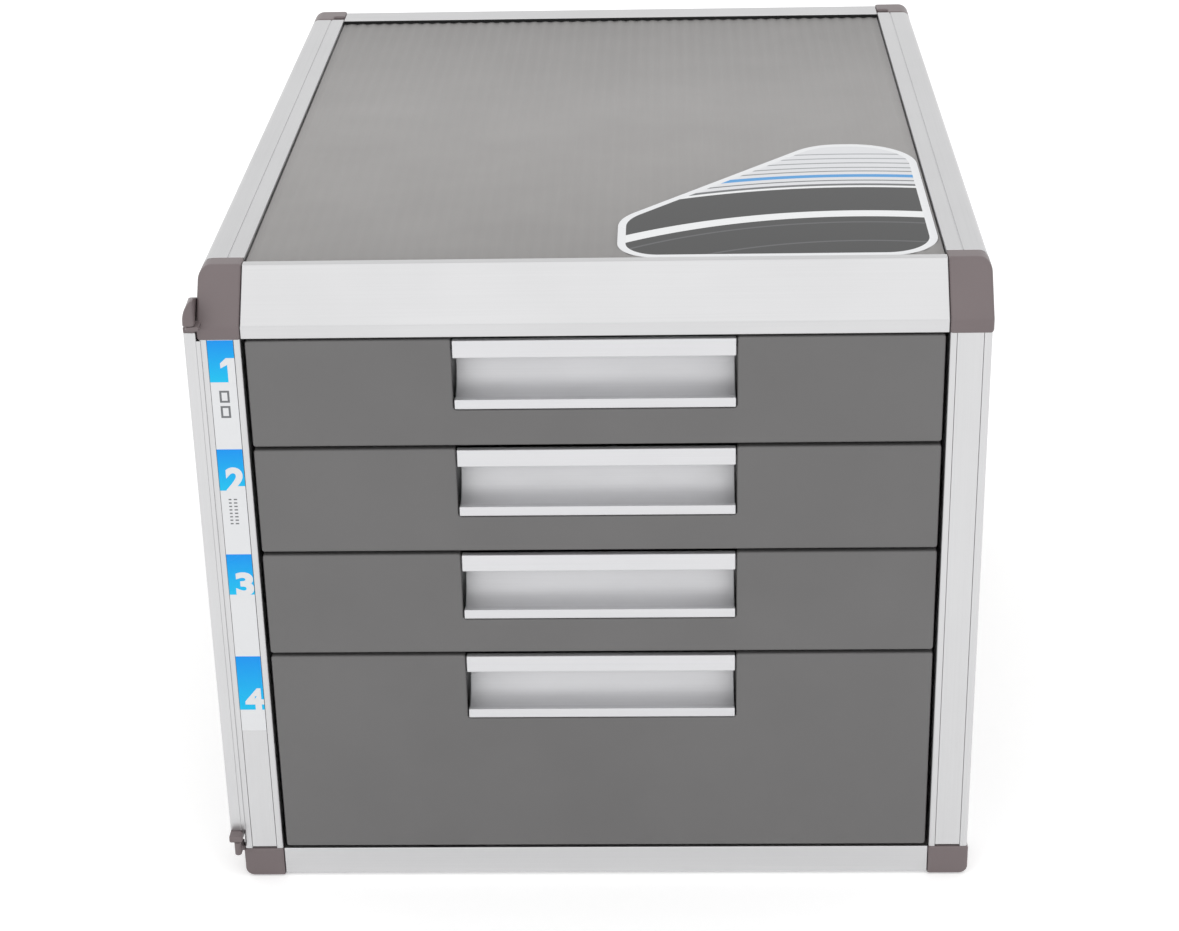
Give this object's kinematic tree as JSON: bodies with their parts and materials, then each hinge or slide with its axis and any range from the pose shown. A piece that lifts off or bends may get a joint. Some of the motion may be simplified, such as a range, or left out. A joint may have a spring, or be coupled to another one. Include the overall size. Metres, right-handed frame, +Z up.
{
  "type": "drawer cabinet",
  "caption": "Small desktop drawer cabinet: aluminium frame with plastic corners, shallow drawers over a deep one, finger-pull handles and a swinging bar that bars the drawers.",
  "frame": {"origin": "on the floor, under the middle of the aluminium frame; the bar and its hinge lugs on the left and front are not counted", "axes": "+Z up, -Y to the front, where the drawers open, +X to the right as seen from the front"},
  "size_m": [0.3059, 0.3845, 0.2674],
  "materials": {
    "frame_aluminium": "satin",
    "bar_aluminium": "satin",
    "handle_aluminium": "satin",
    "corner_plastic": "fine matt grain",
    "front_paint": "powder coat, semi-matt",
    "panel_paint": "textured powder coat",
    "tray_paint": "powder coat",
    "runner_plastic": "smooth moulded",
    "steel": "zinc plated",
    "pad_rubber": "matt",
    "index_print": "printed film",
    "top_print": "printed film"
  },
  "bodies": {
    "cabinet": {"post_front_left": "frame_aluminium", "post_front_right": "frame_aluminium", "post_rear_left": "frame_aluminium", "post_rear_right": "frame_aluminium", "post_strip_left": "frame_aluminium", "post_strip_right": "frame_aluminium", "rail_top_front": "frame_aluminium", "rail_top_rear": "frame_aluminium", "rail_top_left": "frame_aluminium", "rail_top_right": "frame_aluminium", "rail_bottom_front": "frame_aluminium", "rail_bottom_rear": "frame_aluminium", "rail_bottom_left": "frame_aluminium", "rail_bottom_right": "frame_aluminium", "panel_top": "panel_paint", "panel_bottom": "panel_paint", "panel_left": "panel_paint", "panel_right": "panel_paint", "panel_back": "panel_paint", "corner_top_front_left": "corner_plastic", "corner_top_front_right": "corner_plastic", "corner_top_rear_left": "corner_plastic", "corner_top_rear_right": "corner_plastic", "foot_front_left": "corner_plastic", "foot_front_right": "corner_plastic", "foot_rear_left": "corner_plastic", "foot_rear_right": "corner_plastic", "runner_left_1": "runner_plastic", "runner_right_1": "runner_plastic", "runner_left_2": "runner_plastic", "runner_right_2": "runner_plastic", "runner_left_3": "runner_plastic", "runner_right_3": "runner_plastic", "runner_left_4": "runner_plastic", "runner_right_4": "runner_plastic", "foot_pads": "pad_rubber", "index_label": "index_print", "top_label": "top_print"},
    "drawer_1": {"drawer_front_1": "front_paint", "drawer_handle_1": "handle_aluminium", "drawer_tray_1": "tray_paint", "drawer_screws_1": "steel"},
    "drawer_2": {"drawer_front_2": "front_paint", "drawer_handle_2": "handle_aluminium", "drawer_tray_2": "tray_paint", "drawer_screws_2": "steel"},
    "drawer_3": {"drawer_front_3": "front_paint", "drawer_handle_3": "handle_aluminium", "drawer_tray_3": "tray_paint", "drawer_screws_3": "steel"},
    "drawer_4": {"drawer_front_4": "front_paint", "drawer_handle_4": "handle_aluminium", "drawer_tray_4": "tray_paint", "drawer_screws_4": "steel"},
    "swing_bar": {"swing_bar": "bar_aluminium", "swing_bar_cap_top": "corner_plastic", "swing_bar_cap_bottom": "corner_plastic", "hinge_pins": "steel"}
  },
  "joints": [
    {"name": "drawer_1_slide", "type": "slide", "parent": "cabinet", "child": "drawer_1", "axis": [0, -1, 0], "range_m": [0, 0.25]},
    {"name": "drawer_2_slide", "type": "slide", "parent": "cabinet", "child": "drawer_2", "axis": [0, -1, 0], "range_m": [0, 0.25]},
    {"name": "drawer_3_slide", "type": "slide", "parent": "cabinet", "child": "drawer_3", "axis": [0, -1, 0], "range_m": [0, 0.25]},
    {"name": "drawer_4_slide", "type": "slide", "parent": "cabinet", "child": "drawer_4", "axis": [0, -1, 0], "range_m": [0, 0.25]},
    {"name": "swing_bar_hinge", "type": "hinge", "parent": "cabinet", "child": "swing_bar", "pos_m": [-0.1522, -0.1933, 0.13], "axis": [0, 0, -1], "range_deg": [-270, 0]}
  ]
}
